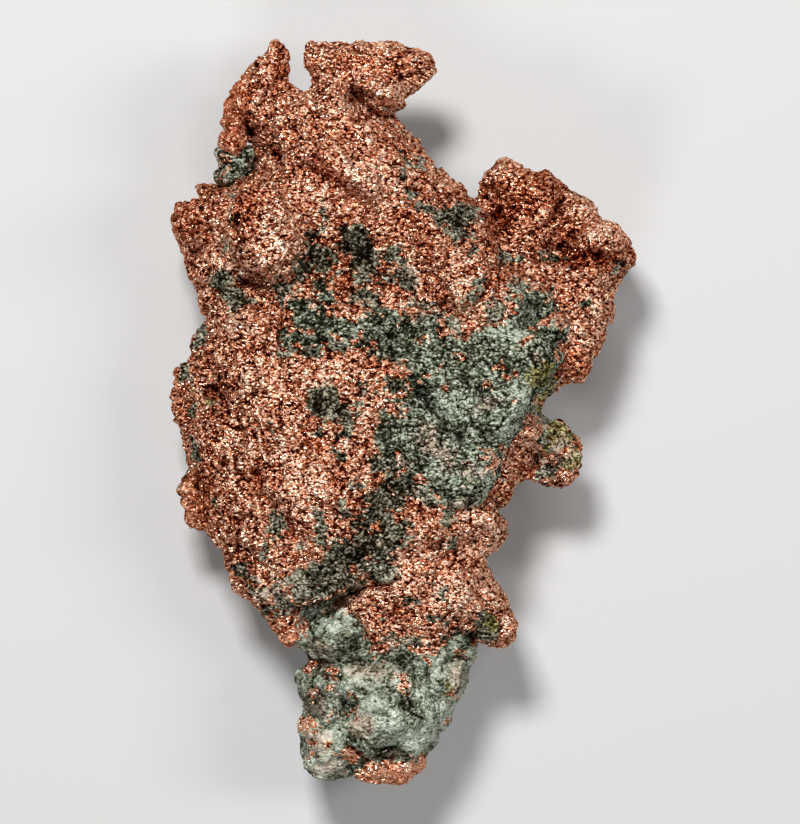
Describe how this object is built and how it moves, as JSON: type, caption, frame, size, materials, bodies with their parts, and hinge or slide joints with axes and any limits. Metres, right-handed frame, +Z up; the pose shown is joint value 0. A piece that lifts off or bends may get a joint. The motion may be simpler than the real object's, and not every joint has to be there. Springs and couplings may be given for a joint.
{
  "type": "native copper nugget",
  "caption": "Rough natural lump of native copper, longer than wide, with a hooked horn, side lobes and lumps of green rock locked in it.",
  "frame": {"origin": "centre of the bounding box in plan, on the surface the nugget lies on", "axes": "+Y along the length towards the horn, +Z up from the back it lies on to its best face, +X to the right of the face"},
  "size_m": [0.023, 0.0372, 0.0101],
  "materials": {
    "copper": "grainy native copper, bright on the ridges and dark in the pits",
    "tail_stone": "rough pale grey-green rock",
    "dark_stone": "rough dark green rock"
  },
  "bodies": {
    "root": {"copper_mass": "copper", "tail_rock": "tail_stone", "face_rock": "dark_stone", "shoulder_rock": "dark_stone"}
  },
  "joints": []
}
